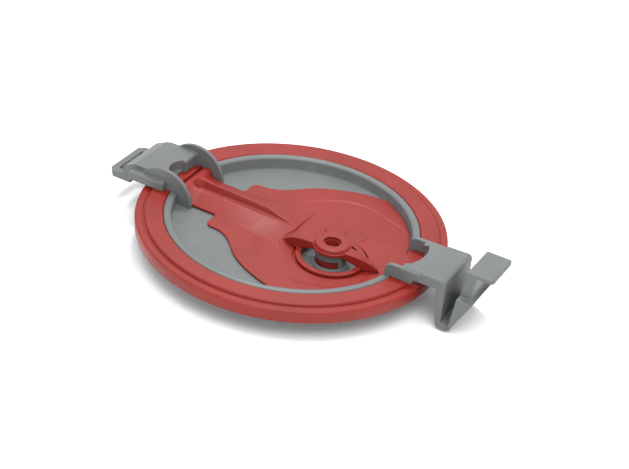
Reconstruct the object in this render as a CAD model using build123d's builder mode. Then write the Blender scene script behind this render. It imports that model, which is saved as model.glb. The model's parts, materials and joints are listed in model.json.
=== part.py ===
from build123d import *
import math
import os

# A round, insulated ice-hole cover that carries a tip-up: a flag paddle lies in the dish, a
# recessed line spool turns under the hub, and two end fittings hold the cover to its seat.
# Millimetres. +Z is up, +X runs from the strap bracket to the snap clip, and the origin is on
# the flat underside, on the axis of the disc.

# ---- disc ---------------------------------------------------------------------------------------
TOP_Z = 31.0            # top face of the red ring
RING_IN_R = 104.3       # ring's inner edge
RING_TOP_R = 118.6      # outer edge of the raised top face
RING_OUT_R = 127.0      # outside of the skirt
LEDGE_Z = 29.1          # ledge outside the step
GROOVE_Z = 28.5
DECK_Z = 26.2           # underside of the ring's top
SKIRT_Z = 18.7          # lower edge of the skirt
SKIRT_T = 2.6
FLANGE_TOP_Z = 21.2     # hidden tray flange, screwed up under the ring's inner wall
FLANGE_Z = 18.8
FLANGE_R = 112.0
RING_WALL_R = 107.0
RING_SCREWS = 8
RING_SCREW_R = 108.8
PAD_HALF_W = 26.0       # raised pads under the two end fittings

LIP_R = 104.0           # outside of the tray's lip
WALL_R = 97.0           # inside of the tray's wall
FLOOR_Z = 21.8          # top of the dish floor
FLOOR_T = 2.2

PUCK_R = 92.0           # insulated plug that drops into the hole
BASE_R = 94.0
BASE_T = 2.0
BASE_RIM_Z = 8.0
POST_R = 4.5
POST_AT_R = 80.0
POST_ANGLES = (32, 85, 140, 195, 248, 290)

BASE_SCREW_L = 13.0
SCREW_R = 1.5
SCREW_HEAD_R = 2.9
SCREW_HEAD_T = 1.6
SCREW_HEAD_Z = 0.1
END_SCREW_X = (-112.5, 112.5)
END_SCREW_Y = (-19.0, 19.0)
SEAL_IN_R = 117.4
SEAL_OUT_R = 123.8
SEAL_Z = 17.0
TONGUE_X = -101.2
TONGUE_HALF_W = 22.6
CLIP_TONGUE_HALF_W = 20.4
CLIP_TONGUE_X = 97.6
GUIDE_R = 22.5
GUIDE_ANGLE = 150
GUIDE_HOLE_R = 3.2
GUIDE_BORE_R = 2.1

# ---- hub ----------------------------------------------------------------------------------------
HUB_X = 46.4            # axis of the knob, sleeve, shaft and spool
HUB_Y = -19.0
FIN_ANGLE = 3.5         # the knob's fins against the latch axis
RECESS_R = 36.0         # hub recess in the dish floor
RECESS_Z = 18.5
RECESS_WALL = 2.2
SLEEVE_R = 12.8
SLEEVE_IN_R = 11.9
SLEEVE_TOP_Z = 32.3
SLEEVE_DISC_Z = 26.6
STEM_R = 7.44
STEM_BORE_R = 7.5
DRUM_R = 11.6
DRUM_Z = 19.6
DRUM_TOP_Z = 26.3
HEAD_Z = 34.6
HEAD_T = 1.5
NECK_R = 7.2
CUP_R = 5.8             # open cup in the top of the drum's stem
CUP_Z = 31.0
LOBE_R = 11.2
SHAFT_R = 3.0
NUT_Z = 2.8
LUG_Z = 33.0
LUG_T = 1.2
LUG_W = 12.0
SHAFT_Z = 2.4
SHAFT_TOP_Z = 30.0
BUSH_R = 6.0
BUSH_Z = 15.2
LOBE_W = 12.0
WINDOW_FROM = -172
WINDOW_TO = -33
WINDOW_TOP_Z = 26.0
RUNNING_FIT = 0.05

CAP_R = 15.5            # knob's hub cap: a shoulder with a rounded crown on it
CAP_SHOULDER_Z = 35.0
CROWN_R = 14.5
CAP_IN_R = 12.0
CAP_HOLE_R = 6.9
CAP_Z = 32.6
CAP_TOP_Z = 38.3
CAP_PLATE_Z = 36.5
COLLAR_R = 28.2
COLLAR_IN_R = 23.8
COLLAR_TOP_Z = 25.0
COLLAR_Z = 21.75
RETAINER_R = 33.5
RETAINER_Z = 20.5
FIN_TIP_R = 42.8
FIN_FRONT_W = 7.8
FIN_BACK_W = 4.2
FIN_Z = 24.05

WELL_R = 33.0           # spool well under the hub
WELL_WALL = 1.8
SPOOL_R = 28.0
SPOOL_CORE_R = 12.0
SPOOL_Z = 5.2
SPOOL_H = 9.2
SPOOL_FLANGE_T = 1.6

# ---- flag paddle --------------------------------------------------------------------------------
FAN_Z = 22.1
FAN_TOP_Z = 23.7
FAN_R = 96.3
FAN_HOLE_R = 30.4
ARM_HALF_W = 22.7
PIVOT_X = -95.0
PIVOT_Z = 27.6
KNUCKLE_R = PIVOT_Z - FAN_Z
PIN_R = 1.5
RIDGE_Y = 6.0
RIDGE_Z = 29.8
TROUGH_X = -86.0
TROUGH_Z = 25.0
TROUGH_HALF_W = 3.2
TROUGH_SLOPE = 29       # degrees the trough's sides lean from upright
TICK_W = 1.2
TICK_DEPTH = 0.9
FIELD_T = 0.45
SHOULDER_X = -58.2
FAN_END_ANGLE = 63
TICK_ANGLES = (70, 97, 124)
SPRING_ROOM = 6.0
PIN_BLIND = 1.2
SPRING_PITCH = 1.0
SPRING_TURNS = 4
SPRING_COIL_R = 2.9
SPRING_WIRE_R = 0.4
SPRING_LEG = 11.0
SPRING_BACK_LEG = 5.6
SPRING_Y = -18.1

# ---- left bracket -------------------------------------------------------------------------------
CHEEK_IN_Y = 23.2
CHEEK_OUT_Y = 26.4
CHEEK_T = CHEEK_OUT_Y - CHEEK_IN_Y
CHEEK_X = -107.6
CHEEK_Z = 21.6
CHEEK_R = 27.1
CHEEK_STEP_X = -100.7   # the cheeks stand in the dish inside this, and on the ring outside it
NOTCH_Y = CHEEK_OUT_Y + 0.3
PLATE_IN_X = -109.5
PLATE_BEND_X = -137.0
PLATE_OUT_X = -148.6
PLATE_TOP_Z = 42.6
PLATE_END_Z = 36.2
PLATE_T = 3.2
PLATE_HALF_W = 24.0
WEB_X = (-117.0, -109.5)    # web that stands on the ring under the plate's inner edge
WEB_FOOT_Z = 33.0
STOP_X = -106.6         # block beside the scoop, behind the paddle's knuckle
STOP_Y = 6.0
SCOOP_Y = (-15.5, 6.0)
SCOOP_DEEP = 4.0
STRIP_T = 2.2
BAR_IN_Y = 27.0
BAR_OUT_Y = 31.4
BAR_IN_X = -105.0
BAR_OUT_X = -139.0
BAR_TOP_Z = 38.2
LOOP_OUT_X = -162.6
LOOP_IN_X = -137.5
LOOP_HALF_W = 24.4
LOOP_BAR = 6.0
LOOP_ARM = 7.0
LOOP_Z = 22.8
LOOP_T = 5.8
END_SCREW_L = 6.4
END_BOSS_R = 2.9

# ---- right clip ---------------------------------------------------------------------------------
CLIP_HALF_W = 25.0
CLIP_WALL = 3.4
CLIP_T = 3.4
CLIP_TOP_Z = 44.2
CLIP_OUT_X = 147.6
CLIP_IN_X = 117.5       # scooped inner edge of the plate
CLIP_STEP_X = 119.0     # the walls rest on the ring inside this
CLIP_STEP_Z = 35.4
LEG_IN_X = 139.9
PRONG_IN_Y = 21.0
PRONG_OUT_Y = 24.8
PRONG_X = 95.4
PRONG_STEP_X = 100.6
PRONG_TOP_Z = 42.0
CLIP_SCOOP_Y = 15.8
SHOULDER_DROP = 3.0
HOOK_X = 151.2          # hinge line in the bottom of the clip's V
HOOK_Z = 4.4
HOOK_R = 2.9
HOOK_PIN_R = 1.3
HOOK_GAP = 0.35
V_FLOOR_Z = HOOK_Z + HOOK_R
V_IN_X = 148.1
V_OUT_X = 154.8
LEVER_KNUCKLE_Y = 17.2
LEVER_IN_X = 157.5
SHELF_X = 170.4
SHELF_Z = 33.2
NECK_T = 8.2
TAB_HALF_W = 18.7
TAB_IN_X = 160.0
TAB_OUT_X = 182.4
TAB_TOP_Z = 56.6
TAB_T = 3.4
TAB_CORNER_R = 2.8


def hub_plane(z, angle=0):
    """Horizontal plane on the hub's axis at height z, turned about that axis."""
    return Plane(origin=(HUB_X, HUB_Y, z)).rotated((0, 0, angle))


def polar(radius, degrees):
    """Point on a circle about the disc's axis."""
    return (radius * math.cos(math.radians(degrees)), radius * math.sin(math.radians(degrees)))


# ---- cover ring: flanged rim with a stepped edge, raised end pads and screw bosses ---------------
with BuildPart() as cover_ring:
    with BuildSketch(Plane.XZ):
        with BuildLine():
            Polyline(
                (RING_IN_R, TOP_Z - 0.8),
                (RING_IN_R + 0.8, TOP_Z),
                (RING_TOP_R - 0.9, TOP_Z),
                (RING_TOP_R, TOP_Z - 0.7),
                (RING_TOP_R + 0.5, GROOVE_Z),
                (RING_TOP_R + 1.6, GROOVE_Z),
                (RING_TOP_R + 2.3, LEDGE_Z),
                (RING_OUT_R - 1.6, LEDGE_Z),
                (RING_OUT_R - 0.3, LEDGE_Z - 0.6),
                (RING_OUT_R, LEDGE_Z - 1.8),
                (RING_OUT_R - 0.7, SKIRT_Z),
                (RING_OUT_R - SKIRT_T, SKIRT_Z),
                (RING_OUT_R - SKIRT_T - 0.2, DECK_Z),
                (RING_WALL_R, DECK_Z),
                (RING_WALL_R, FLANGE_TOP_Z),
                (RING_IN_R, FLANGE_TOP_Z),
                close=True,
            )
        make_face()
    revolve(axis=Axis.Z)
    # raised pads run out to the skirt under both end fittings
    with BuildSketch(Plane.XY.offset(DECK_Z)):
        Circle(RING_OUT_R - 0.2)
        Circle(RING_WALL_R, mode=Mode.SUBTRACT)
        Rectangle(2 * RING_OUT_R, 2 * PAD_HALF_W, mode=Mode.INTERSECT)
    extrude(amount=TOP_Z - DECK_Z)
    # tongues that close the gaps in the tray's lip, behind the paddle's knuckle and inside the clip
    with BuildSketch(Plane.XY.offset(FLANGE_TOP_Z)):
        with Locations((TONGUE_X - 3, 0)):
            Rectangle(6, 2 * TONGUE_HALF_W)
        with Locations((-TONGUE_X + 2, 0)):
            Rectangle(6, 2 * CLIP_TONGUE_HALF_W)
    extrude(amount=TOP_Z - FLANGE_TOP_Z)
    with BuildSketch(Plane.XY.offset(FLOOR_Z + 0.3)):
        with Locations((CLIP_TONGUE_X, 0)):
            Rectangle(RING_IN_R - CLIP_TONGUE_X, 2 * CLIP_TONGUE_HALF_W, align=(Align.MIN, Align.CENTER))
    extrude(amount=TOP_Z - FLOOR_Z - 0.3)
    with BuildSketch(Plane.XY.offset(FLANGE_TOP_Z)):
        with PolarLocations(RING_SCREW_R, RING_SCREWS, start_angle=22.5):
            Circle(3.4)
        Circle(RING_WALL_R - 1, mode=Mode.SUBTRACT)
    extrude(amount=DECK_Z - FLANGE_TOP_Z + 0.5)
    with Locations((0, 0, FLANGE_TOP_Z)):
        with PolarLocations(RING_SCREW_R, RING_SCREWS, start_angle=22.5):
            Cylinder(SCREW_R, 6.5, align=(Align.CENTER, Align.CENTER, Align.MIN), mode=Mode.SUBTRACT)
    with Locations(*[(x, y, DECK_Z) for x in END_SCREW_X for y in END_SCREW_Y]):
        Cylinder(SCREW_R, 20, mode=Mode.SUBTRACT)
cover_ring.part.label = "cover_ring"
export_step(cover_ring.part, "parts/cover_ring.step")


# ---- dish tray: lip, wall, floor, hub recess, spool well and the posts of the base --------------
with BuildPart() as dish_tray:
    with BuildSketch(Plane.XZ):
        with BuildLine():
            Polyline(
                (0, FLOOR_Z - FLOOR_T),
                (0, FLOOR_Z),
                (WALL_R, FLOOR_Z),
                (WALL_R + 0.5, TOP_Z - 2.4),
                (WALL_R + 0.9, TOP_Z - 1.0),
                (WALL_R + 2.0, TOP_Z - 0.1),
                (WALL_R + 3.4, TOP_Z + 0.2),
                (LIP_R - 1.2, TOP_Z + 0.1),
                (LIP_R - 0.2, TOP_Z - 0.5),
                (LIP_R, TOP_Z - 1.4),
                (LIP_R, TOP_Z - 3.0),
                (WALL_R + 2.6, TOP_Z - 3.0),
                (WALL_R + 2.6, FLANGE_TOP_Z),
                (FLANGE_R, FLANGE_TOP_Z),
                (FLANGE_R, FLANGE_Z),
                (WALL_R - 2, FLANGE_Z),
                (WALL_R - 2, FLOOR_Z - FLOOR_T),
                close=True,
            )
        make_face()
    revolve(axis=Axis.Z)
    # the lip and wall are open between the hinge cheeks
    with BuildSketch(Plane.XY.offset(FLOOR_Z)):
        with Locations((-LIP_R, 0)):
            Rectangle(30, 2 * NOTCH_Y)
    extrude(amount=TOP_Z, mode=Mode.SUBTRACT)
    # and across the prongs of the snap clip
    with BuildSketch(Plane.XY.offset(FLOOR_Z)):
        with Locations((LIP_R - 2, 0)):
            Rectangle(20, 2 * PRONG_OUT_Y + 0.4)
    extrude(amount=TOP_Z, mode=Mode.SUBTRACT)
    # hub recess and the spool well under it
    with BuildSketch(hub_plane(RECESS_Z - RECESS_WALL)):
        Circle(RECESS_R + RECESS_WALL)
    extrude(amount=FLOOR_Z - RECESS_Z)
    with BuildSketch(hub_plane(RECESS_Z)):
        Circle(RECESS_R)
    extrude(amount=FLOOR_Z, mode=Mode.SUBTRACT)
    with BuildSketch(hub_plane(BASE_T)):
        Circle(WELL_R + WELL_WALL)
        Circle(WELL_R, mode=Mode.SUBTRACT)
    extrude(amount=RECESS_Z - RECESS_WALL - BASE_T)
    with BuildSketch(hub_plane(0)):
        Circle(BUSH_R)
    extrude(amount=FLOOR_Z, mode=Mode.SUBTRACT)
    with BuildSketch(Plane.XY.offset(BASE_T)):
        with Locations(*[polar(POST_AT_R, a) for a in POST_ANGLES]):
            Circle(POST_R)
    extrude(amount=FLOOR_Z - FLOOR_T - BASE_T)
    with BuildSketch(Plane.XY.offset(BASE_T)):
        with Locations(*[polar(POST_AT_R, a) for a in POST_ANGLES]):
            Circle(SCREW_R)
    extrude(amount=BASE_SCREW_L, mode=Mode.SUBTRACT)
    with BuildSketch(Plane.XY.offset(FLANGE_Z)):
        with PolarLocations(RING_SCREW_R, RING_SCREWS, start_angle=22.5):
            Circle(SCREW_R)
    extrude(amount=FLANGE_TOP_Z - FLANGE_Z, mode=Mode.SUBTRACT)
dish_tray.part.label = "dish_tray"
export_step(dish_tray.part, "parts/dish_tray.step")


# ---- insulation, base and seal ------------------------------------------------------------------
with BuildPart() as foam_puck:
    with BuildSketch(Plane.XY.offset(BASE_T)):
        Circle(PUCK_R)
        with Locations((HUB_X, HUB_Y)):
            Circle(WELL_R + WELL_WALL + 0.1, mode=Mode.SUBTRACT)
        with Locations(*[polar(POST_AT_R, a) for a in POST_ANGLES]):
            Circle(POST_R + 0.1, mode=Mode.SUBTRACT)
    extrude(amount=FLOOR_Z - FLOOR_T - BASE_T - 0.1)
    with BuildSketch(hub_plane(RECESS_Z - RECESS_WALL - 0.1)):
        Circle(RECESS_R + RECESS_WALL + 0.1)
    extrude(amount=FLOOR_Z, mode=Mode.SUBTRACT)
foam_puck.part.label = "foam_puck"
export_step(foam_puck.part, "parts/foam_puck.step")

with BuildPart() as base_plate:
    with BuildSketch():
        Circle(BASE_R)
    extrude(amount=BASE_RIM_Z)
    with BuildSketch(Plane.XY.offset(BASE_T)):
        Circle(PUCK_R + 0.1)
    extrude(amount=BASE_RIM_Z, mode=Mode.SUBTRACT)
    chamfer(base_plate.faces().sort_by(Axis.Z)[0].edges(), 0.8)
    with BuildSketch():
        with Locations((HUB_X, HUB_Y)):
            Circle(WELL_R - 1.5)
    extrude(amount=BASE_T, mode=Mode.SUBTRACT)
    # tab that carries the line guide into the spool opening
    with BuildSketch(hub_plane(0, GUIDE_ANGLE)):
        with Locations((GUIDE_R + 4, 0)):
            Rectangle(14, 11)
        with Locations((GUIDE_R, 0)):
            Circle(5.5)
            Circle(GUIDE_HOLE_R, mode=Mode.SUBTRACT)
    extrude(amount=BASE_T)
    with Locations(*[(*polar(POST_AT_R, a), 0) for a in POST_ANGLES]):
        Cylinder(SCREW_R, 2 * BASE_T, mode=Mode.SUBTRACT)
        Cylinder(SCREW_HEAD_R, SCREW_HEAD_Z, align=(Align.CENTER, Align.CENTER, Align.MIN),
                 mode=Mode.SUBTRACT)
    with Locations(*[(*polar(POST_AT_R, a), SCREW_HEAD_Z) for a in POST_ANGLES]):
        Cone(SCREW_HEAD_R, SCREW_R, SCREW_HEAD_T, align=(Align.CENTER, Align.CENTER, Align.MIN),
             mode=Mode.SUBTRACT)
base_plate.part.label = "base_plate"
export_step(base_plate.part, "parts/base_plate.step")

with BuildPart() as base_screws:
    with Locations(*[(*polar(POST_AT_R, a), SCREW_HEAD_Z) for a in POST_ANGLES]):
        Cone(SCREW_HEAD_R, SCREW_R, SCREW_HEAD_T, align=(Align.CENTER, Align.CENTER, Align.MIN))
        Cylinder(SCREW_R, BASE_SCREW_L, align=(Align.CENTER, Align.CENTER, Align.MIN))
        Cylinder(0.9, 1.0, align=(Align.CENTER, Align.CENTER, Align.MIN), mode=Mode.SUBTRACT)
base_screws.part.label = "base_screws"
export_step(base_screws.part, "parts/base_screws.step")

with BuildPart() as ring_screws:
    with Locations((0, 0, FLANGE_Z)):
        with PolarLocations(RING_SCREW_R, RING_SCREWS, start_angle=22.5):
            Cylinder(2.8, 1.6, align=(Align.CENTER, Align.CENTER, Align.MAX))
            Cylinder(SCREW_R, 8, align=(Align.CENTER, Align.CENTER, Align.MIN))
ring_screws.part.label = "ring_screws"
export_step(ring_screws.part, "parts/ring_screws.step")

with BuildPart() as seal_ring:
    with BuildSketch(Plane.XZ):
        with BuildLine():
            Polyline(
                (SEAL_IN_R, DECK_Z),
                (SEAL_IN_R, SEAL_Z + 1.5),
                (SEAL_IN_R + 1.5, SEAL_Z),
                (SEAL_OUT_R - 1.5, SEAL_Z),
                (SEAL_OUT_R, SEAL_Z + 1.5),
                (SEAL_OUT_R, DECK_Z),
                close=True,
            )
        make_face()
    revolve(axis=Axis.Z)
seal_ring.part.label = "seal_ring"
export_step(seal_ring.part, "parts/seal_ring.step")


# ---- spindle: sleeve, bushing, shaft, trip drum and trip head -----------------------------------
with BuildPart() as spindle_sleeve:
    with BuildSketch(hub_plane(RECESS_Z)):
        Circle(SLEEVE_R)
    extrude(amount=SLEEVE_TOP_Z - RECESS_Z)
    chamfer(spindle_sleeve.edges().group_by(Axis.Z)[-1], 0.5)
    with BuildSketch(hub_plane(RECESS_Z)):
        Circle(SLEEVE_R + 2.6)
    extrude(amount=1.1)
    with BuildSketch(hub_plane(RECESS_Z)):
        Circle(SLEEVE_IN_R)
    extrude(amount=SLEEVE_DISC_Z - RECESS_Z, mode=Mode.SUBTRACT)
    with BuildSketch(hub_plane(RECESS_Z)):
        Circle(STEM_BORE_R)
    extrude(amount=SLEEVE_TOP_Z, mode=Mode.SUBTRACT)
    # window in the near side, with square ends
    with BuildSketch(hub_plane(RECESS_Z + 1.4)):
        with BuildLine():
            a0, a1 = WINDOW_FROM, WINDOW_TO
            CenterArc((0, 0), SLEEVE_R + 3, a0, a1 - a0)
            l_end = Line((0, 0), ((SLEEVE_R + 3) * math.cos(math.radians(a0)),
                                  (SLEEVE_R + 3) * math.sin(math.radians(a0))))
            Line(l_end @ 0, ((SLEEVE_R + 3) * math.cos(math.radians(a1)),
                             (SLEEVE_R + 3) * math.sin(math.radians(a1))))
        make_face()
    extrude(amount=WINDOW_TOP_Z - RECESS_Z - 1.4, mode=Mode.SUBTRACT)
spindle_sleeve.part.label = "spindle_sleeve"
export_step(spindle_sleeve.part, "parts/spindle_sleeve.step")

with BuildPart() as shaft_bushing:
    with BuildSketch(hub_plane(RECESS_Z)):
        Circle(8.5)
    extrude(amount=0.8)
    with BuildSketch(hub_plane(BUSH_Z)):
        Circle(BUSH_R)
    extrude(amount=RECESS_Z - BUSH_Z)
    with BuildSketch(hub_plane(0)):
        Circle(SHAFT_R + RUNNING_FIT)
    extrude(amount=TOP_Z, mode=Mode.SUBTRACT)
shaft_bushing.part.label = "shaft_bushing"
export_step(shaft_bushing.part, "parts/shaft_bushing.step")

with BuildPart() as spool_shaft:
    with BuildSketch(hub_plane(SHAFT_Z)):
        Circle(SHAFT_R)
    extrude(amount=SHAFT_TOP_Z - SHAFT_Z)
    chamfer(spool_shaft.edges().group_by(Axis.Z)[0], 0.5)
spool_shaft.part.label = "spool_shaft"
export_step(spool_shaft.part, "parts/spool_shaft.step")

with BuildPart() as trip_drum:
    with BuildSketch(hub_plane(DRUM_Z)):
        Circle(DRUM_R)
    extrude(amount=DRUM_TOP_Z - DRUM_Z)
    with BuildSketch(hub_plane(DRUM_TOP_Z)):
        Circle(STEM_R)
    extrude(amount=HEAD_Z - DRUM_TOP_Z)
    with BuildSketch(hub_plane(HEAD_Z)):
        Circle(NECK_R)
    extrude(amount=HEAD_T)
    with BuildSketch(hub_plane(CUP_Z)):
        Circle(CUP_R)
    extrude(amount=TOP_Z, mode=Mode.SUBTRACT)
    with BuildSketch(hub_plane(0)):
        Circle(SHAFT_R)
    extrude(amount=SHAFT_TOP_Z, mode=Mode.SUBTRACT)
trip_drum.part.label = "trip_drum"
export_step(trip_drum.part, "parts/trip_drum.step")

with BuildPart() as trip_head:
    with BuildSketch(hub_plane(HEAD_Z)):
        Circle(LOBE_R)
        Rectangle(LOBE_W, 3 * LOBE_R, mode=Mode.INTERSECT)
        Circle(STEM_R + 0.2)
        Circle(NECK_R, mode=Mode.SUBTRACT)
    extrude(amount=HEAD_T)
trip_head.part.label = "trip_head"
export_step(trip_head.part, "parts/trip_head.step")


# ---- line spool, washer, nut and guide ----------------------------------------------------------
with BuildPart() as line_spool:
    with BuildSketch(Plane.XZ):
        with BuildLine():
            Polyline(
                (SHAFT_R, SPOOL_Z),
                (SPOOL_R - 0.6, SPOOL_Z),
                (SPOOL_R, SPOOL_Z + 0.6),
                (SPOOL_R, SPOOL_Z + SPOOL_FLANGE_T),
                (SPOOL_CORE_R + 2, SPOOL_Z + SPOOL_FLANGE_T + 0.6),
                (SPOOL_CORE_R, SPOOL_Z + SPOOL_FLANGE_T + 2),
                (SPOOL_CORE_R, SPOOL_Z + SPOOL_H - SPOOL_FLANGE_T - 2),
                (SPOOL_CORE_R + 2, SPOOL_Z + SPOOL_H - SPOOL_FLANGE_T - 0.6),
                (SPOOL_R, SPOOL_Z + SPOOL_H - SPOOL_FLANGE_T),
                (SPOOL_R, SPOOL_Z + SPOOL_H - 0.6),
                (SPOOL_R - 0.6, SPOOL_Z + SPOOL_H),
                (SHAFT_R, SPOOL_Z + SPOOL_H),
                close=True,
            )
        make_face()
    revolve(axis=Axis.Z)
    # line anchor holes and finger holes through both flanges
    with BuildSketch(Plane.XY):
        with PolarLocations(20.5, 5):
            Circle(4.2)
        with PolarLocations(SPOOL_R - 2.4, 3, start_angle=36):
            Circle(0.8)
    extrude(amount=TOP_Z, mode=Mode.SUBTRACT)
line_spool.part.position = (HUB_X, HUB_Y, 0)
line_spool.part.label = "line_spool"
export_step(line_spool.part, "parts/line_spool.step")

with BuildPart() as spool_washer:
    with BuildSketch(hub_plane(SPOOL_Z + SPOOL_H)):
        Circle(7.0)
        Circle(SHAFT_R, mode=Mode.SUBTRACT)
    extrude(amount=0.5)
spool_washer.part.label = "spool_washer"
export_step(spool_washer.part, "parts/spool_washer.step")

with BuildPart() as spool_nut:
    with BuildSketch(hub_plane(NUT_Z)):
        RegularPolygon(5.6, 6)
        Circle(SHAFT_R, mode=Mode.SUBTRACT)
    extrude(amount=SPOOL_Z - NUT_Z)
    chamfer(spool_nut.faces().sort_by(Axis.Z)[0].outer_wire().edges(), 0.4)
spool_nut.part.label = "spool_nut"
export_step(spool_nut.part, "parts/spool_nut.step")

with BuildPart() as line_guide:
    with BuildSketch(hub_plane(0.1, GUIDE_ANGLE)):
        with Locations((GUIDE_R, 0)):
            Circle(GUIDE_HOLE_R)
            Circle(GUIDE_BORE_R, mode=Mode.SUBTRACT)
    extrude(amount=BASE_T + 1.2)
    with BuildSketch(hub_plane(BASE_T, GUIDE_ANGLE)):
        with Locations((GUIDE_R, 0)):
            Circle(GUIDE_HOLE_R + 1.2)
            Circle(GUIDE_BORE_R, mode=Mode.SUBTRACT)
    extrude(amount=1.3)
    fillet(line_guide.edges().group_by(Axis.Z)[-1], 0.5)
line_guide.part.label = "line_guide"
export_step(line_guide.part, "parts/line_guide.step")


# ---- knob: hub cap, two arched fins, collar and the lugs that the trip head works against --------
fin_x = (math.cos(math.radians(FIN_ANGLE)), math.sin(math.radians(FIN_ANGLE)), 0)
fin_side = Plane(origin=(HUB_X, HUB_Y, 0), x_dir=fin_x, z_dir=(fin_x[1], -fin_x[0], 0))

with BuildPart() as trip_knob:
    with BuildSketch(hub_plane(COLLAR_Z, FIN_ANGLE)):
        with BuildLine():
            ThreePointArc((-FIN_TIP_R, 0), (0, -FIN_FRONT_W), (FIN_TIP_R, 0))
            ThreePointArc((-FIN_TIP_R, 0), (0, FIN_BACK_W), (FIN_TIP_R, 0))
        make_face()
    extrude(amount=TOP_Z)
    with BuildSketch(fin_side):
        with BuildLine():
            crest = Spline(
                (-FIN_TIP_R, FIN_Z), (-36.6, 29.6), (-26, 34.0), (0, 35.9), (26, 34.0), (36.6, 29.6),
                (FIN_TIP_R, FIN_Z),
            )
            Polyline(
                crest @ 1,
                (COLLAR_R, FIN_Z),
                (COLLAR_R, COLLAR_Z),
                (COLLAR_IN_R, COLLAR_Z),
                (COLLAR_IN_R, 26.4),
                (SLEEVE_R + 1.2, 30.0),
                (-SLEEVE_R - 1.2, 30.0),
                (-COLLAR_IN_R, 26.4),
                (-COLLAR_IN_R, COLLAR_Z),
                (-COLLAR_R, COLLAR_Z),
                (-COLLAR_R, FIN_Z),
                crest @ 0,
            )
        make_face()
    extrude(amount=FIN_FRONT_W + 1, both=True, mode=Mode.INTERSECT)
    with BuildSketch(hub_plane(COLLAR_Z)):
        Circle(COLLAR_R)
        Circle(COLLAR_IN_R, mode=Mode.SUBTRACT)
    extrude(amount=COLLAR_TOP_Z - COLLAR_Z)
    with BuildSketch(hub_plane(CAP_Z)):
        Circle(CAP_R)
    extrude(amount=CAP_SHOULDER_Z - CAP_Z)
    with BuildSketch(hub_plane(CAP_Z)):
        Circle(CROWN_R)
    extrude(amount=CAP_TOP_Z - CAP_Z)
    fillet(trip_knob.edges().filter_by(GeomType.CIRCLE).group_by(Axis.Z)[-1], 2.2)
    with BuildSketch(hub_plane(0)):
        Circle(CAP_IN_R)
    extrude(amount=CAP_PLATE_Z, mode=Mode.SUBTRACT)
    with BuildSketch(hub_plane(0)):
        Circle(SLEEVE_R + 0.9)
    extrude(amount=CAP_Z, mode=Mode.SUBTRACT)
    with BuildSketch(hub_plane(0)):
        Circle(CAP_HOLE_R)
    extrude(amount=2 * TOP_Z, mode=Mode.SUBTRACT)
    fillet(trip_knob.edges().filter_by(GeomType.CIRCLE).group_by(Axis.Z)[-1], 0.8)
    with BuildSketch(hub_plane(LUG_Z, FIN_ANGLE)):
        Circle(CAP_IN_R + 0.3)
        Rectangle(3 * CAP_IN_R, LUG_W, mode=Mode.INTERSECT)
        Circle(STEM_R + 0.8, mode=Mode.SUBTRACT)
    extrude(amount=LUG_T)
trip_knob.part.label = "trip_knob"
export_step(trip_knob.part, "parts/trip_knob.step")

with BuildPart() as knob_retainer:
    with BuildSketch(hub_plane(RETAINER_Z)):
        Circle(RETAINER_R)
        Circle(COLLAR_IN_R, mode=Mode.SUBTRACT)
    extrude(amount=COLLAR_Z - RETAINER_Z)
    chamfer(knob_retainer.edges().group_by(Axis.Z)[0], 0.3)
knob_retainer.part.label = "knob_retainer"
export_step(knob_retainer.part, "parts/knob_retainer.step")


# ---- flag paddle: fan, raised spine with its trough, and the hinge knuckle ----------------------
def spine_section(x, base, edge_z, ridge, ridge_z):
    """Cross-section of the spine: sloping sides up to a flat crest."""
    with BuildSketch(Plane.YZ.offset(x)) as section:
        with BuildLine():
            Polyline(
                (-base, FAN_TOP_Z - 0.6),
                (-base, edge_z),
                (-ridge, ridge_z),
                (ridge, ridge_z),
                (base, edge_z),
                (base, FAN_TOP_Z - 0.6),
                close=True,
            )
        make_face()
    return section.sketch


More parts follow.
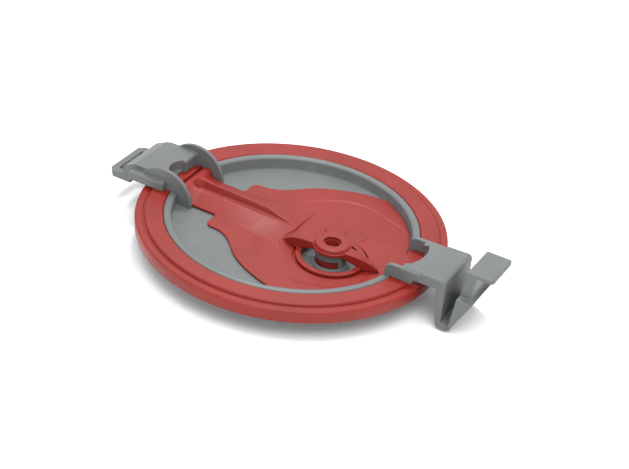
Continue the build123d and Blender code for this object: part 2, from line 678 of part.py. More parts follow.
with BuildPart() as flag_paddle:
    with BuildSketch(Plane.XY.offset(FAN_Z)) as outline:
        with BuildLine():
            side = Polyline(
                (PIVOT_X, 0), (PIVOT_X, ARM_HALF_W), (SHOULDER_X, ARM_HALF_W), (SHOULDER_X, 39.5), (-46, 40.2),
            )
            flare = Spline(
                side @ 1, (-17, 63.0), (8, 78.0), polar(FAN_R, FAN_END_ANGLE),
                tangents=[(1, 0.25), (1, 0.02)],
            )
            CenterArc((0, 0), FAN_R, 0, FAN_END_ANGLE)
            mirror(about=Plane.XZ)
        make_face()
        corners = outline.vertices().filter_by(lambda v: abs(v.X - SHOULDER_X) < 0.01)
        fillet(corners.filter_by(lambda v: abs(v.Y) > 30), 6)
        fillet(outline.vertices().filter_by(
            lambda v: abs(v.X - SHOULDER_X) < 0.01 and abs(v.Y) < 30), 2.5)
    extrude(amount=FAN_TOP_Z - FAN_Z)
    # shallow field inside the fan's border
    with BuildSketch(Plane.XY.offset(FAN_TOP_Z)):
        with BuildLine():
            field = Spline(
                (-22, 0), (-17, 28), (3, 54), (32, 66.5), (62, 59), (84, 0),
                tangents=[(0, 1), (0, -1)],
            )
            mirror(about=Plane.XZ)
        make_face()
    extrude(amount=-FIELD_T, mode=Mode.SUBTRACT)
    sections = (
        (PIVOT_X + 1.5, ARM_HALF_W, 29.6, 12.0, 32.6),
        (-88, ARM_HALF_W, 25.6, 9.6, 31.2),
        (-80, ARM_HALF_W, 24.2, RIDGE_Y + 1.8, 30.4),
        (-60, ARM_HALF_W, 23.9, RIDGE_Y + 1.3, RIDGE_Z + 0.2),
        (-24, 26.5, 23.8, RIDGE_Y + 0.6, 28.8),
        (5, 31.0, 23.75, 1.6, 25.0),
    )
    for near, far in zip(sections, sections[1:]):
        loft([spine_section(*near), spine_section(*far)], ruled=True)
    with Locations((PIVOT_X, 0, PIVOT_Z)):
        Cylinder(KNUCKLE_R, 2 * ARM_HALF_W, rotation=(90, 0, 0))
    # trough between the two ridges, round at the hinge end and pointed at the fan
    with BuildSketch(Plane.XY.offset(TROUGH_Z)):
        with BuildLine():
            end = CenterArc((TROUGH_X, 0), TROUGH_HALF_W, 90, 180)
            Polyline(end @ 1, (-28, -TROUGH_HALF_W), (0, 0), (-28, TROUGH_HALF_W), end @ 0)
        make_face()
    extrude(amount=8, taper=-TROUGH_SLOPE, mode=Mode.SUBTRACT)
    # turning room of the knob, and the hole for its collar
    with BuildSketch(hub_plane(FAN_TOP_Z)):
        Circle(FIN_TIP_R + 1)
    extrude(amount=TOP_Z, mode=Mode.SUBTRACT)
    with BuildSketch(hub_plane(0)):
        Circle(FAN_HOLE_R)
    extrude(amount=TOP_Z, mode=Mode.SUBTRACT)
    # index ticks round the knob
    for angle in TICK_ANGLES:
        with BuildSketch(hub_plane(FAN_TOP_Z, angle)):
            with Locations((FAN_HOLE_R + 6.5, 0)):
                SlotOverall(7.5, TICK_W)
        extrude(amount=-TICK_DEPTH, mode=Mode.SUBTRACT)
    # pin bore, room for the spring's coil and a groove for its leg
    with Locations((PIVOT_X, 0, PIVOT_Z)):
        Cylinder(PIN_R + RUNNING_FIT, 3 * ARM_HALF_W, rotation=(90, 0, 0), mode=Mode.SUBTRACT)
    with Locations((PIVOT_X, -ARM_HALF_W, PIVOT_Z)):
        Box(2 * KNUCKLE_R + 1, 2 * SPRING_ROOM, 2 * KNUCKLE_R + 3, mode=Mode.SUBTRACT)
    with Locations((PIVOT_X, SPRING_Y, FAN_Z)):
        Box(2 * SPRING_LEG + 2, 2.0, 6.8, mode=Mode.SUBTRACT)
flag_paddle.part.label = "flag_paddle"
export_step(flag_paddle.part, "parts/flag_paddle.step")

with BuildPart() as hinge_pin:
    with Locations((PIVOT_X, PIN_BLIND / 2, PIVOT_Z)):
        Cylinder(PIN_R, 2 * CHEEK_OUT_Y - PIN_BLIND, rotation=(90, 0, 0))
hinge_pin.part.label = "hinge_pin"
export_step(hinge_pin.part, "parts/hinge_pin.step")

with BuildPart() as flag_spring:
    # coil round the hinge pin; one leg lies under the paddle's arm, the other under the ring's tongue
    with BuildLine():
        coil = Helix(
            SPRING_PITCH, SPRING_PITCH * SPRING_TURNS, SPRING_COIL_R,
            center=(PIVOT_X, SPRING_Y, PIVOT_Z), direction=(0, -1, 0), lefthand=True,
        )
    with BuildSketch(Plane(coil @ 0, z_dir=coil % 0)):
        Circle(SPRING_WIRE_R)
    sweep(path=coil, is_frenet=True)
    with BuildSketch(Plane(coil @ 0 - (SPRING_WIRE_R, 0, 0), z_dir=(1, 0, 0))):
        Circle(SPRING_WIRE_R)
    extrude(amount=SPRING_LEG + SPRING_WIRE_R)
    with BuildSketch(Plane(coil @ 1 + (SPRING_WIRE_R, 0, 0), z_dir=(-1, 0, 0))):
        Circle(SPRING_WIRE_R)
    extrude(amount=SPRING_BACK_LEG + SPRING_WIRE_R)
flag_spring.part.label = "flag_spring"
export_step(flag_spring.part, "parts/flag_spring.step")


# ---- left bracket: hinge cheeks, cover plate, side bars and strap loop --------------------------
with BuildPart() as left_bracket:
    # cover plate, bent down to its square outer end
    with BuildSketch(Plane.XZ.offset(PLATE_HALF_W)):
        with BuildLine():
            Polyline(
                (PLATE_IN_X, PLATE_TOP_Z),
                (PLATE_BEND_X, PLATE_TOP_Z - 0.6),
                (PLATE_OUT_X + 1.5, PLATE_END_Z + 0.8),
                (PLATE_OUT_X, PLATE_END_Z - 1.2),
                (PLATE_OUT_X, LOOP_Z + 3),
                (PLATE_OUT_X + 4, LOOP_Z + 3),
                (LOOP_IN_X, TOP_Z + 0.4),
                (LOOP_IN_X, PLATE_TOP_Z - PLATE_T - 1),
                (PLATE_IN_X, PLATE_TOP_Z - PLATE_T),
                close=True,
            )
        make_face()
    extrude(amount=-2 * PLATE_HALF_W)
    # web from the ring up to the plate, and the block beside its scoop
    with BuildSketch(Plane.XY.offset(TOP_Z)):
        with Locations((WEB_X[0], 0)):
            Rectangle(WEB_X[1] - WEB_X[0], 2 * CHEEK_IN_Y, align=(Align.MIN, Align.CENTER))
    extrude(amount=PLATE_TOP_Z - TOP_Z - 1)
    with BuildSketch(Plane.XY.offset(TOP_Z)) as stop:
        with Locations((WEB_X[1] - 2, STOP_Y)):
            Rectangle(STOP_X - WEB_X[1] + 2, CHEEK_IN_Y + 1 - STOP_Y, align=(Align.MIN, Align.MIN))
        fillet(stop.vertices().group_by(Axis.X)[-1].sort_by(Axis.Y)[0], 1.5)
    extrude(amount=PLATE_TOP_Z - TOP_Z - 0.1)
    chamfer(left_bracket.edges().filter_by(Axis.Y).filter_by_position(Axis.X, STOP_X - 0.1, STOP_X + 0.1)
            .sort_by(Axis.Z)[-1], 1.5)
    with BuildSketch(Plane.XY.offset(WEB_FOOT_Z)):
        with BuildLine():
            scoop = ThreePointArc(
                (WEB_X[1] + 0.5, SCOOP_Y[0]), (WEB_X[1] - SCOOP_DEEP, sum(SCOOP_Y) / 2), (WEB_X[1] + 0.5, SCOOP_Y[1]),
            )
            Line(scoop @ 1, scoop @ 0)
        make_face()
    extrude(amount=TOP_Z, mode=Mode.SUBTRACT)
    # two half-round cheeks that stand in the dish and hold the hinge pin
    for y in (-CHEEK_OUT_Y, CHEEK_IN_Y):
        with BuildSketch(Plane.XZ.offset(-y)):
            with Locations((CHEEK_X, CHEEK_Z)):
                Circle(CHEEK_R)
            with Locations((CHEEK_X, FLOOR_Z)):
                Rectangle(3 * CHEEK_R, 2 * CHEEK_R, align=(Align.CENTER, Align.MAX), mode=Mode.SUBTRACT)
            with Locations((CHEEK_STEP_X, TOP_Z)):
                Rectangle(2 * CHEEK_R, CHEEK_R, align=(Align.MAX, Align.MAX), mode=Mode.SUBTRACT)
        extrude(amount=-CHEEK_T)
    # side bars with round ends that rest on the ring, joined to the cheeks outside it
    with BuildSketch(Plane.XY.offset(TOP_Z)) as bars:
        for side in (-1, 1):
            with Locations((BAR_IN_X, side * (BAR_IN_Y + BAR_OUT_Y) / 2)):
                Rectangle(BAR_IN_X - BAR_OUT_X, BAR_OUT_Y - BAR_IN_Y, align=(Align.MAX, Align.CENTER))
        fillet(bars.vertices(), 2.0)
    extrude(amount=BAR_TOP_Z - TOP_Z)
    with BuildSketch(Plane.XY.offset(TOP_Z + 1)):
        for side in (-1, 1):
            with Locations((BAR_OUT_X + 1.5, side * (BAR_IN_Y - 1.5))):
                Rectangle(9, 6, align=(Align.MIN, Align.CENTER))
    extrude(amount=BAR_TOP_Z - TOP_Z - 2)
    # strips that close the plate's sides down to the bars
    with BuildSketch(Plane.XY.offset(BAR_TOP_Z - STRIP_T)):
        for side in (-1, 1):
            with Locations((BAR_OUT_X + 2, side * (PLATE_HALF_W + BAR_IN_Y) / 2)):
                Rectangle(WEB_X[1] - BAR_OUT_X - 4, BAR_IN_Y - PLATE_HALF_W + 1.6, align=(Align.MIN, Align.CENTER))
    extrude(amount=STRIP_T - 0.2)
    # strap loop: an open frame outside the plate
    with BuildSketch(Plane.XY.offset(LOOP_Z)) as loop:
        with Locations((LOOP_OUT_X, 0)):
            Rectangle(LOOP_IN_X - LOOP_OUT_X - 3, 2 * LOOP_HALF_W, align=(Align.MIN, Align.CENTER))
        chamfer(loop.vertices().group_by(Axis.X)[0], 4.5)
        with Locations((LOOP_OUT_X + LOOP_BAR, 0)):
            Rectangle(60, 2 * (LOOP_HALF_W - LOOP_ARM), align=(Align.MIN, Align.CENTER), mode=Mode.SUBTRACT)
    extrude(amount=LOOP_T)
    # screw holes in the web
    with Locations(*[(END_SCREW_X[0], y, TOP_Z) for y in END_SCREW_Y]):
        Cylinder(SCREW_R, END_SCREW_L, align=(Align.CENTER, Align.CENTER, Align.MIN), mode=Mode.SUBTRACT)
    with Locations((PIVOT_X, PIN_BLIND / 2, PIVOT_Z)):
        Cylinder(PIN_R, 2 * CHEEK_OUT_Y - PIN_BLIND, rotation=(90, 0, 0), mode=Mode.SUBTRACT)
left_bracket.part.label = "left_bracket"
export_step(left_bracket.part, "parts/left_bracket.step")


# ---- right clip: frame with two prongs, sprung lever with a thumb tab, and the lever's pin -------
with BuildPart() as clip_frame:
    # plate, side walls and the inner leg of the V
    with BuildSketch(Plane.XZ.offset(CLIP_HALF_W)):
        with BuildLine():
            Polyline(
                (CLIP_IN_X - 9, TOP_Z),
                (CLIP_IN_X - 9, PRONG_TOP_Z),
                (CLIP_IN_X - 3, CLIP_TOP_Z),
                (CLIP_OUT_X - 3.0, CLIP_TOP_Z),
                (CLIP_OUT_X - 0.9, CLIP_TOP_Z - 0.9),
                (CLIP_OUT_X, CLIP_TOP_Z - 3.0),
                (V_IN_X, V_FLOOR_Z),
                (HOOK_X, V_FLOOR_Z),
                (HOOK_X, HOOK_Z - HOOK_R),
                (HOOK_X - 4.0, HOOK_Z - HOOK_R + 0.5),
                (HOOK_X - 7.2, HOOK_Z - 0.3),
                (HOOK_X - 8.0, HOOK_Z + 3.1),
                (LEG_IN_X, CLIP_STEP_Z),
                (CLIP_STEP_X + 2, CLIP_STEP_Z),
                (CLIP_STEP_X, TOP_Z),
                close=True,
            )
        make_face()
    extrude(amount=-2 * CLIP_HALF_W)
    with BuildSketch(Plane.XY.offset(TOP_Z - 1)):
        with Locations((LEG_IN_X + 0.4, 0)):
            Rectangle(100, 2 * (CLIP_HALF_W - CLIP_WALL), align=(Align.MAX, Align.CENTER))
    extrude(amount=CLIP_TOP_Z - CLIP_T - TOP_Z + 1, mode=Mode.SUBTRACT)
    # shoulders that widen towards the prongs, and a scoop between them
    for side in (-1, 1):
        corners = []
        for x, drop in ((PRONG_X, SHOULDER_DROP), (CLIP_OUT_X, 0.6)):
            with BuildSketch(Plane.YZ.offset(x)) as corner:
                with BuildLine():
                    Polyline(
                        (side * (CLIP_HALF_W + 0.5), CLIP_TOP_Z + 0.5),
                        (side * (CLIP_HALF_W - 1.3 * drop), CLIP_TOP_Z + 0.5),
                        (side * (CLIP_HALF_W + 0.5), CLIP_TOP_Z - drop),
                        close=True,
                    )
                make_face()
            corners.append(corner.sketch)
        loft(corners, ruled=True, mode=Mode.SUBTRACT)
    with BuildSketch(Plane.XY.offset(TOP_Z - 1)):
        with BuildLine():
            scoop = ThreePointArc((CLIP_IN_X - 4, -CLIP_SCOOP_Y), (CLIP_IN_X, 0), (CLIP_IN_X - 4, CLIP_SCOOP_Y))
            Polyline(scoop @ 1, (CLIP_IN_X - 20, CLIP_SCOOP_Y), (CLIP_IN_X - 20, -CLIP_SCOOP_Y), scoop @ 0)
        make_face()
    extrude(amount=TOP_Z, mode=Mode.SUBTRACT)
    # prongs reach through the lip into the dish
    for y in (-PRONG_OUT_Y, PRONG_IN_Y):
        with BuildSketch(Plane.XZ.offset(-y)) as prong:
            with BuildLine():
                Polyline(
                    (PRONG_X, FLOOR_Z),
                    (PRONG_X, PRONG_TOP_Z),
                    (CLIP_IN_X - 6, PRONG_TOP_Z),
                    (CLIP_IN_X - 6, TOP_Z),
                    (PRONG_STEP_X, TOP_Z),
                    (PRONG_STEP_X, FLOOR_Z),
                    close=True,
                )
            make_face()
            fillet(prong.vertices().group_by(Axis.X)[0].sort_by(Axis.Y)[-1], 6)
        extrude(amount=PRONG_IN_Y - PRONG_OUT_Y)
    # hinge knuckles in the bottom of the V
    with BuildSketch(Plane.XZ.offset(CLIP_HALF_W)):
        with Locations((HOOK_X, HOOK_Z)):
            Circle(HOOK_R)
    extrude(amount=-2 * CLIP_HALF_W)
    with Locations((HOOK_X, 0, HOOK_Z)):
        Cylinder(HOOK_R + HOOK_GAP, 2 * (LEVER_KNUCKLE_Y + HOOK_GAP), rotation=(90, 0, 0), mode=Mode.SUBTRACT)
    # screw bosses in the roots of the prongs
    with BuildSketch(Plane.XY.offset(TOP_Z)):
        with Locations(*[(END_SCREW_X[1], y) for y in END_SCREW_Y]):
            Circle(END_BOSS_R)
    extrude(amount=CLIP_TOP_Z - CLIP_T - TOP_Z)
    with Locations(*[(END_SCREW_X[1], y, TOP_Z) for y in END_SCREW_Y]):
        Cylinder(SCREW_R, END_SCREW_L, align=(Align.CENTER, Align.CENTER, Align.MIN), mode=Mode.SUBTRACT)
    with Locations((HOOK_X, PIN_BLIND, HOOK_Z)):
        Cylinder(HOOK_PIN_R, 2 * CLIP_HALF_W, rotation=(90, 0, 0), mode=Mode.SUBTRACT)
clip_frame.part.label = "clip_frame"
export_step(clip_frame.part, "parts/clip_frame.step")

with BuildPart() as clip_lever:
    # wedge that rises from the hinge to the ledge
    with BuildSketch(Plane.XZ.offset(CLIP_HALF_W)):
        with BuildLine():
            Polyline(
                (HOOK_X, V_FLOOR_Z),
                (V_OUT_X, V_FLOOR_Z),
                (LEVER_IN_X, SHELF_Z),
                (SHELF_X - 3.5, SHELF_Z),
                (SHELF_X, SHELF_Z - 1.6),
                (HOOK_X + 7.8, HOOK_Z + 5.4),
                (HOOK_X + 4.6, HOOK_Z - 1.6),
                (HOOK_X, HOOK_Z - HOOK_R),
                close=True,
            )
        make_face()
    extrude(amount=-2 * CLIP_HALF_W)
    for side in (-1, 1):
        with Locations((HOOK_X, side * CLIP_HALF_W, HOOK_Z)):
            Cylinder(HOOK_R + HOOK_GAP, 2 * (CLIP_HALF_W - LEVER_KNUCKLE_Y), rotation=(90, 0, 0),
                     mode=Mode.SUBTRACT)
    with Locations((HOOK_X, 0, HOOK_Z)):
        Cylinder(HOOK_R, 2 * LEVER_KNUCKLE_Y, rotation=(90, 0, 0))
    # neck, thumb tab and the rib under the tab
    with BuildSketch(Plane.XZ.offset(TAB_HALF_W)):
        with BuildLine():
            Polyline(
                (LEVER_IN_X + 0.4, SHELF_Z - 3),
                (LEVER_IN_X + 0.4, SHELF_Z + 2),
                (TAB_IN_X, TAB_TOP_Z - 1.2),
                (TAB_IN_X + 1.2, TAB_TOP_Z),
                (TAB_OUT_X - 0.8, TAB_TOP_Z),
                (TAB_OUT_X, TAB_TOP_Z - 0.8),
                (TAB_OUT_X, TAB_TOP_Z - TAB_T),
                (TAB_IN_X + NECK_T + 1, TAB_TOP_Z - TAB_T),
                (LEVER_IN_X + NECK_T + 1.5, SHELF_Z + 2),
                (LEVER_IN_X + NECK_T + 1.5, SHELF_Z - 3),
                close=True,
            )
        make_face()
    extrude(amount=-2 * TAB_HALF_W)
    fillet(clip_lever.edges().filter_by(Axis.Z).filter_by_position(Axis.X, TAB_OUT_X - 0.1, TAB_OUT_X + 0.1),
           TAB_CORNER_R)
    with BuildSketch(Plane.XZ.offset(2.0)):
        with BuildLine():
            Polyline(
                (TAB_IN_X + NECK_T, TAB_TOP_Z - TAB_T + 0.5),
                (TAB_IN_X + NECK_T + 6, TAB_TOP_Z - TAB_T + 0.5),
                (LEVER_IN_X + NECK_T + 1, SHELF_Z + 6),
                close=True,
            )
        make_face()
    extrude(amount=-4.0)
    with Locations((HOOK_X, 0, HOOK_Z)):
        Cylinder(HOOK_PIN_R + RUNNING_FIT, 4 * CLIP_HALF_W, rotation=(90, 0, 0), mode=Mode.SUBTRACT)
clip_lever.part.label = "clip_lever"
export_step(clip_lever.part, "parts/clip_lever.step")

with BuildPart() as lever_pin:
    with Locations((HOOK_X, PIN_BLIND / 2, HOOK_Z)):
        Cylinder(HOOK_PIN_R, 2 * CLIP_HALF_W - PIN_BLIND, rotation=(90, 0, 0))
lever_pin.part.label = "lever_pin"
export_step(lever_pin.part, "parts/lever_pin.step")

with BuildPart() as bracket_screws:
    with Locations(*[(END_SCREW_X[0], y, DECK_Z) for y in END_SCREW_Y]):
        Cylinder(2.8, 1.6, align=(Align.CENTER, Align.CENTER, Align.MAX))
        Cylinder(SCREW_R, TOP_Z - DECK_Z + END_SCREW_L - 0.5, align=(Align.CENTER, Align.CENTER, Align.MIN))
bracket_screws.part.label = "bracket_screws"
export_step(bracket_screws.part, "parts/bracket_screws.step")

with BuildPart() as clip_screws:
    with Locations(*[(END_SCREW_X[1], y, DECK_Z) for y in END_SCREW_Y]):
        Cylinder(2.8, 1.6, align=(Align.CENTER, Align.CENTER, Align.MAX))
        Cylinder(SCREW_R, TOP_Z - DECK_Z + END_SCREW_L - 0.5, align=(Align.CENTER, Align.CENTER, Align.MIN))
clip_screws.part.label = "clip_screws"
export_step(clip_screws.part, "parts/clip_screws.step")
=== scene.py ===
"""Looks and studio for the round ice-hole cover with its flag paddle, hub knob, bracket and clip."""

import json
import math

import bpy
from mathutils import Matrix, Vector


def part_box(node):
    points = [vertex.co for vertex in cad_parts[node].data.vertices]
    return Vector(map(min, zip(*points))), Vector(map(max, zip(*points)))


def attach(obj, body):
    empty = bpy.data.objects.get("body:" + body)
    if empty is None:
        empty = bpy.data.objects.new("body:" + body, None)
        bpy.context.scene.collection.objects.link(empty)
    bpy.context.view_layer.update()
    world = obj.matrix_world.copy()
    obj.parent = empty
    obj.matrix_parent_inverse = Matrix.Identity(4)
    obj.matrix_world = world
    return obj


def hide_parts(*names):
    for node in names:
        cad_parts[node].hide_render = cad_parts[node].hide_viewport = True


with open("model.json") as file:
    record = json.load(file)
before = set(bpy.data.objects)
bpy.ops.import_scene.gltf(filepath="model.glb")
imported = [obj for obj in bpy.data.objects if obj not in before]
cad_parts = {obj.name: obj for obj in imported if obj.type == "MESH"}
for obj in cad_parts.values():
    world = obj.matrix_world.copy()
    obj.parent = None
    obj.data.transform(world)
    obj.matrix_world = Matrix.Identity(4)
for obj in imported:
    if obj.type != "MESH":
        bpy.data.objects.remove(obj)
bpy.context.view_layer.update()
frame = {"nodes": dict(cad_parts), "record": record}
nodes = frame["nodes"]
scene = bpy.context.scene

# ---- camera: the studio's view of the cover -------------------------------------------------------
RING_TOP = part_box("cover_ring")[1].z
AZIMUTH = math.radians(25.0)
ELEVATION = math.radians(32.37)
ROLL = math.radians(7.26)
LENS_MM = 97.3
CAMERA_BACK = Vector((0.0177, -0.0124, 1.3717))      # from the ring's centre, along the camera's own axes

camera = bpy.data.objects.new("camera", bpy.data.cameras.new("camera"))
camera.data.lens = LENS_MM
camera.data.sensor_width = 36.0
scene.collection.objects.link(camera)
turn = (
    Matrix.Rotation(AZIMUTH, 4, "Z")
    @ Matrix.Rotation(math.pi / 2 - ELEVATION, 4, "X")
    @ Matrix.Rotation(ROLL, 4, "Z")
)
camera.matrix_world = Matrix.Translation((0, 0, RING_TOP)) @ turn @ Matrix.Translation(CAMERA_BACK)
scene.camera = camera


# ---- materials ------------------------------------------------------------------------------------
# texture scales are in features per metre, bump heights in metres
FLOW_SCALE = 28.0
RUB_SCALE = 90.0
GRAIN_SCALE = 2600.0
STREAK_SCALE = 1400.0
PLASTIC_SPECULAR = 0.30
SATIN = (0.34, 0.50)        # least and greatest roughness of the visible plastics
GRAIN_HEIGHT = 0.00004
STREAK_HEIGHT = 0.00002
FOAM_HEIGHT = 0.0002
FOAM_BUMP = 0.6
FOAM_ROUGHNESS = 0.85


def shader_nodes(name):
    """A new node material with its tree, its Principled shader and its object coordinates."""
    material = bpy.data.materials.new(name)
    material.use_nodes = True
    tree = material.node_tree
    shader = tree.nodes["Principled BSDF"]
    coordinates = tree.nodes.new("ShaderNodeTexCoord").outputs["Object"]
    return material, tree, shader, coordinates


def noise(tree, coordinates, scale, detail=2.0, roughness=0.5):
    """A noise texture's factor."""
    texture = tree.nodes.new("ShaderNodeTexNoise")
    texture.inputs["Scale"].default_value = scale
    texture.inputs["Detail"].default_value = detail
    texture.inputs["Roughness"].default_value = roughness
    tree.links.new(coordinates, texture.inputs["Vector"])
    return texture.outputs["Fac"]


def ramp(tree, factor, low, high, start=0.35, end=0.65):
    """A colour ramp from low to high between two values of factor."""
    node = tree.nodes.new("ShaderNodeValToRGB")
    node.color_ramp.elements[0].position = start
    node.color_ramp.elements[1].position = end
    node.color_ramp.elements[0].color = (*low, 1.0)
    node.color_ramp.elements[1].color = (*high, 1.0)
    tree.links.new(factor, node.inputs["Fac"])
    return node.outputs["Color"]


def spread(tree, factor, low, high):
    """Maps factor 0..1 to low..high."""
    node = tree.nodes.new("ShaderNodeMapRange")
    node.inputs["To Min"].default_value = low
    node.inputs["To Max"].default_value = high
    tree.links.new(factor, node.inputs["Value"])
    return node.outputs["Result"]


def bump(tree, shader, height, distance, strength=1.0):
    """Bumps the shader by height."""
    node = tree.nodes.new("ShaderNodeBump")
    node.inputs["Strength"].default_value = strength
    node.inputs["Distance"].default_value = distance
    tree.links.new(height, node.inputs["Height"])
    tree.links.new(node.outputs["Normal"], shader.inputs["Normal"])


def scaled(colour, factor):
    """The colour made darker or lighter by factor."""
    return tuple(min(1.0, c * factor) for c in colour)


def moulded_plastic(name, colour, rough=SATIN, mottle=0.10):
    """Satin injection-moulded plastic: faint flow mottling, a fine spark-eroded grain and rubbed patches."""
    material, tree, shader, coordinates = shader_nodes(name)
    flow = noise(tree, coordinates, FLOW_SCALE, detail=4.0, roughness=0.6)
    tint = ramp(tree, flow, scaled(colour, 1 - mottle), scaled(colour, 1 + mottle), 0.3, 0.7)
    tree.links.new(tint, shader.inputs["Base Color"])
    rubbed = noise(tree, coordinates, RUB_SCALE, detail=5.0, roughness=0.65)
    tree.links.new(spread(tree, rubbed, *rough), shader.inputs["Roughness"])
    shader.inputs["Specular IOR Level"].default_value = PLASTIC_SPECULAR
    bump(tree, shader, noise(tree, coordinates, GRAIN_SCALE, detail=3.0), GRAIN_HEIGHT)
    return material


def metal(name, colour, rough):
    """Plated or turned metal with a fine uneven sheen."""
    material, tree, shader, coordinates = shader_nodes(name)
    shader.inputs["Metallic"].default_value = 1.0
    streak = noise(tree, coordinates, STREAK_SCALE, detail=4.0, roughness=0.7)
    tree.links.new(ramp(tree, streak, scaled(colour, 0.8), scaled(colour, 1.1)), shader.inputs["Base Color"])
    tree.links.new(spread(tree, streak, rough, rough + 0.18), shader.inputs["Roughness"])
    bump(tree, shader, streak, STREAK_HEIGHT)
    return material


def foam(name, colour, cell):
    """Closed-cell foam: small round cells in a matt skin."""
    material, tree, shader, coordinates = shader_nodes(name)
    cells = tree.nodes.new("ShaderNodeTexVoronoi")
    cells.inputs["Scale"].default_value = cell
    tree.links.new(coordinates, cells.inputs["Vector"])
    distance = cells.outputs["Distance"]
    tree.links.new(ramp(tree, distance, scaled(colour, 0.8), colour, 0.0, 0.5), shader.inputs["Base Color"])
    shader.inputs["Roughness"].default_value = FOAM_ROUGHNESS
    bump(tree, shader, distance, FOAM_HEIGHT, FOAM_BUMP)
    return material


MATERIALS = {
    "red_plastic": moulded_plastic("red_plastic", (0.208, 0.0140, 0.0095)),
    "grey_plastic": moulded_plastic("grey_plastic", (0.120, 0.128, 0.128), mottle=0.05),
    "sleeve_plastic": moulded_plastic("sleeve_plastic", (0.122, 0.130, 0.128), mottle=0.05),
    "trip_plastic": moulded_plastic("trip_plastic", (0.190, 0.014, 0.010)),
    "base_plastic": moulded_plastic("base_plastic", (0.20, 0.205, 0.21), rough=(0.42, 0.58)),
    "spool_plastic": moulded_plastic("spool_plastic", (0.022, 0.022, 0.024), rough=(0.3, 0.45)),
    "foam": foam("foam", (0.62, 0.62, 0.60), 700.0),
    "seal_rubber": foam("seal_rubber", (0.030, 0.030, 0.031), 1200.0),
    "bush_brass": metal("bush_brass", (0.62, 0.42, 0.16), 0.28),
    "steel": metal("steel", (0.60, 0.60, 0.61), 0.26),
}
SLOT_OF = {part["node"]: part["material_slot"] for part in frame["record"]["subparts"]}
BODY_OF = {
    node: body
    for body, members in frame["record"]["behaviour"]["bodies"].items()
    for node in members
}


def paint(thing, material):
    """Gives thing this one material."""
    thing.data.materials.clear()
    thing.data.materials.append(material)


# ---- moulded shells: the CAD shapes with the soft edges and root fillets of moulded plastic -------
MERGE = 0.00001             # points nearer than this are one
RELAX_FACTOR = 0.5


def evaluated_mesh(thing):
    """A new mesh of thing with its modifiers applied."""
    bpy.context.view_layer.update()
    graph = bpy.context.evaluated_depsgraph_get()
    return bpy.data.meshes.new_from_object(thing.evaluated_get(graph))


def moulded(name, node, voxel, rounds, keep):
    """A piece that replaces a CAD node: the same solid with its edges rounded off.

    voxel is the grain of the new surface in metres, rounds how often it is relaxed, and keep the
    share of its faces that is kept.
    """
    piece = bpy.data.objects.new(name, nodes[node].data.copy())
    scene.collection.objects.link(piece)
    weld = piece.modifiers.new("weld", "WELD")
    weld.merge_threshold = MERGE
    remesh = piece.modifiers.new("remesh", "REMESH")
    remesh.mode = "VOXEL"
    remesh.voxel_size = voxel
    relax = piece.modifiers.new("relax", "SMOOTH")
    relax.factor = RELAX_FACTOR
    relax.iterations = rounds
    thin = piece.modifiers.new("thin", "DECIMATE")
    thin.ratio = keep
    mesh = evaluated_mesh(piece)
    piece.modifiers.clear()
    piece.data = mesh
    mesh.name = name
    mesh.shade_smooth()
    paint(piece, MATERIALS[SLOT_OF[node]])
    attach(piece, BODY_OF[node])
    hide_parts(node)
    return piece


MOULDED = (
    # piece, CAD node, voxel in metres, rounds, share of faces kept
    ("strap_bracket", "left_bracket", 0.00040, 6, 0.30),
    ("snap_clip", "clip_frame", 0.00040, 6, 0.30),
    ("thumb_lever", "clip_lever", 0.00040, 6, 0.30),
    ("flag_shell", "flag_paddle", 0.00040, 9, 0.25),
    ("knob_shell", "trip_knob", 0.00030, 5, 0.35),
)
for entry in MOULDED:
    moulded(*entry)


# ---- ticks: low moulded ridges beside the knob and on the dish floor --------------------------------
TICK_W = 0.0009
TICK_H = 0.00035
TICK_SUNK = 0.0002


def tick(name, body, slot, centre, angle, length):
    """A ridge of triangular section, length long, turned by angle about its centre on a flat face."""
    half = length / 2
    corners = []
    for x in (-half, half):
        corners += [(x, -TICK_W / 2, -TICK_SUNK), (x, TICK_W / 2, -TICK_SUNK), (x * 0.9, 0.0, TICK_H)]
    mesh = bpy.data.meshes.new(name)
    mesh.from_pydata(corners, [], [(0, 1, 2), (5, 4, 3), (0, 3, 4, 1), (1, 4, 5, 2), (2, 5, 3, 0)])
    mesh.transform(Matrix.Translation(centre) @ Matrix.Rotation(math.radians(angle), 4, "Z"))
    piece = bpy.data.objects.new(name, mesh)
    scene.collection.objects.link(piece)
    paint(piece, MATERIALS[slot])
    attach(piece, body)


KNOB_TICK_ANGLES = (76, 100, 124)
KNOB_TICK_R = 0.0400        # middle of a tick from the knob's axis
KNOB_TICK_L = 0.0090
PADDLE_TOP = 0.02325
knob_joint = next(j for j in frame["record"]["behaviour"]["joints"] if j["name"] == "knob_turn")
hub = Vector((*knob_joint["pos_m"][:2], PADDLE_TOP))
for number, angle in enumerate(KNOB_TICK_ANGLES):
    outward = Vector((math.cos(math.radians(angle)), math.sin(math.radians(angle)), 0.0))
    tick(f"knob_tick_{number}", "flag", "red_plastic", hub + KNOB_TICK_R * outward, angle, KNOB_TICK_L)

DISH_TICK_X = -0.0770
DISH_TICK_Y = (-0.0470, -0.0500)
DISH_TICK_ANGLE = 60
DISH_TICK_L = 0.0050
DISH_FLOOR = 0.0218
for number, y in enumerate(DISH_TICK_Y):
    place = Vector((DISH_TICK_X, y, DISH_FLOOR))
    tick(f"dish_tick_{number}", "cover", "grey_plastic", place, DISH_TICK_ANGLE, DISH_TICK_L)

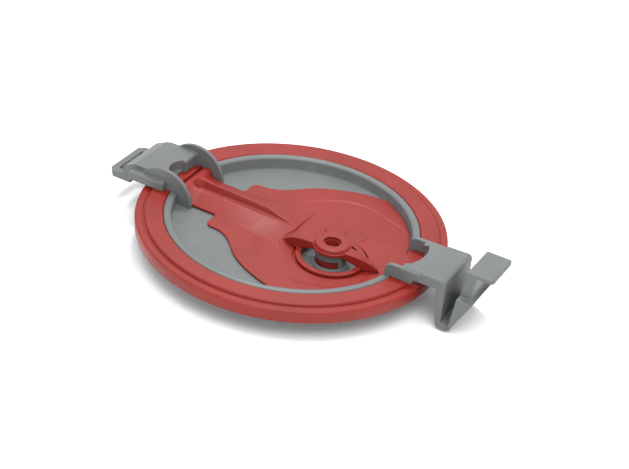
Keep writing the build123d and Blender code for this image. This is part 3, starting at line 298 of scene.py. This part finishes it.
# ---- CAD nodes that stay as they are get their finish and a small softened edge ---------------------
EDGE = 0.0004
EDGE_ANGLE = math.radians(35)
replaced = {entry[1] for entry in MOULDED}
for name, thing in nodes.items():
    paint(thing, MATERIALS[SLOT_OF[name]])
    if name in replaced:
        continue
    weld = thing.modifiers.new("weld", "WELD")
    weld.merge_threshold = MERGE
    soft = thing.modifiers.new("soft_edge", "BEVEL")
    soft.width = EDGE
    soft.segments = 2
    soft.limit_method = "ANGLE"
    soft.angle_limit = EDGE_ANGLE
    soft.harden_normals = True

# ---- studio ---------------------------------------------------------------------------------------
FLOOR_HALF = 6.0
FLOOR_TONE = (0.90, 0.92)
WORLD_STRENGTH = 1.05
floor_mesh = bpy.data.meshes.new("floor")
floor_mesh.from_pydata(
    [(x * FLOOR_HALF, y * FLOOR_HALF, 0) for x, y in ((-1, -1), (1, -1), (1, 1), (-1, 1))],
    [],
    [(0, 1, 2, 3)],
)
floor = bpy.data.objects.new("floor", floor_mesh)
scene.collection.objects.link(floor)
floor_material, floor_tree, floor_shader, floor_coordinates = shader_nodes("floor")
floor_noise = noise(floor_tree, floor_coordinates, 3.0)
floor_tone = ramp(floor_tree, floor_noise, (FLOOR_TONE[0],) * 3, (FLOOR_TONE[1],) * 3)
floor_tree.links.new(floor_tone, floor_shader.inputs["Base Color"])
floor_shader.inputs["Roughness"].default_value = 0.9
floor_shader.inputs["Specular IOR Level"].default_value = 0.1
paint(floor, floor_material)

world = bpy.data.worlds.new("studio")
world.use_nodes = True
world.node_tree.nodes["Background"].inputs["Color"].default_value = (1.0, 1.0, 1.0, 1.0)
world.node_tree.nodes["Background"].inputs["Strength"].default_value = WORLD_STRENGTH
scene.world = world
scene.view_settings.view_transform = "Standard"


def soft_box(name, place, size, power):
    """A square soft light at place, aimed at the ring."""
    light = bpy.data.lights.new(name, "AREA")
    light.size = size
    light.energy = power
    box = bpy.data.objects.new(name, light)
    scene.collection.objects.link(box)
    box.location = place
    box.rotation_euler = (Vector((0, 0, RING_TOP)) - Vector(place)).to_track_quat("-Z", "Y").to_euler()


LIGHTS = (
    # name, place and size in metres, power in watts
    ("key_light", (0.5, -0.7, 1.8), 1.5, 30.0),
    ("back_light", (-0.40, 0.70, 1.60), 0.30, 15.0),
)
for light in LIGHTS:
    soft_box(*light)
